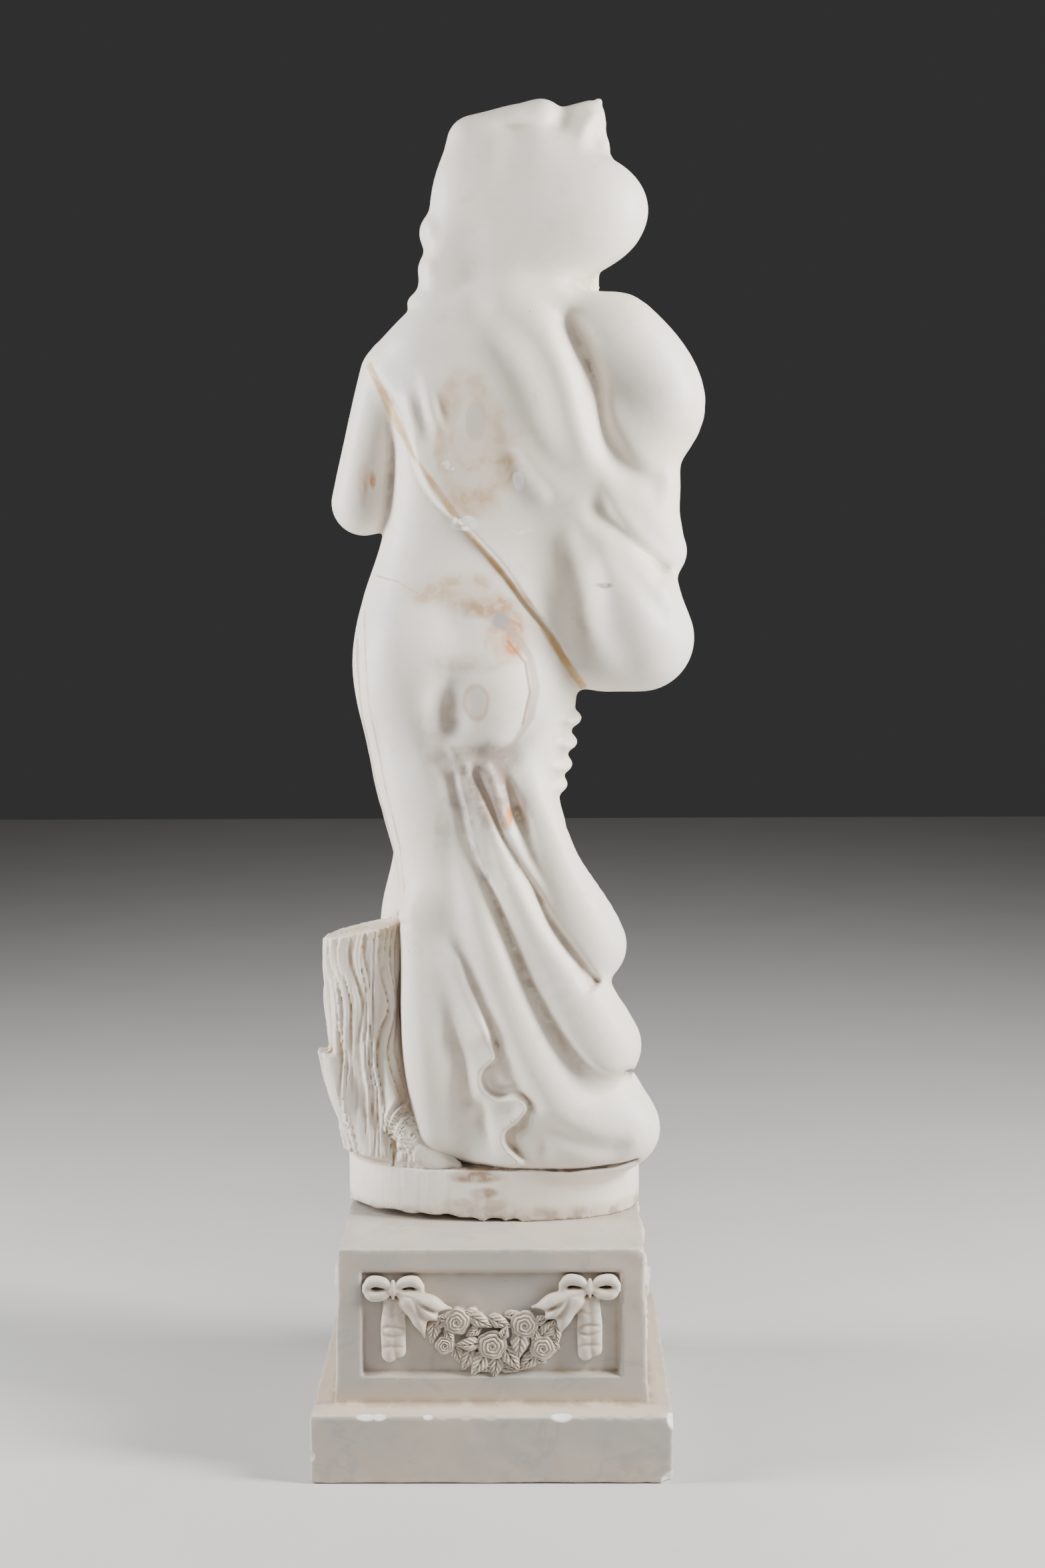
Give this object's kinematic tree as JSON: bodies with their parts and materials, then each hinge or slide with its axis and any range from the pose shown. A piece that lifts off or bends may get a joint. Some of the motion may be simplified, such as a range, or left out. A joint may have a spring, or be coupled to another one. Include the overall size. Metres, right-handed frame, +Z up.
{
  "type": "draped woman marble statue on garland pedestal",
  "caption": "Carved marble statue of a veiled, draped woman beside a tree stump on an oval base, standing on a square pedestal with ribbon and flower garland panels.",
  "frame": {"origin": "centre of the pedestal's square underside", "axes": "+Z up; the woman faces +Y, so -Y is her back, -X her left side with the tree stump, +X her right side with the billowing cloak"},
  "size_m": [0.5557, 0.5, 1.9013],
  "materials": {
    "pedestal": "honed grey-beige marble, softly worn, with faint grey veins",
    "figure": "satin warm white marble with ochre and grey veining"
  },
  "bodies": {
    "root": {"pedestal": "pedestal", "figure": "figure"}
  },
  "joints": []
}
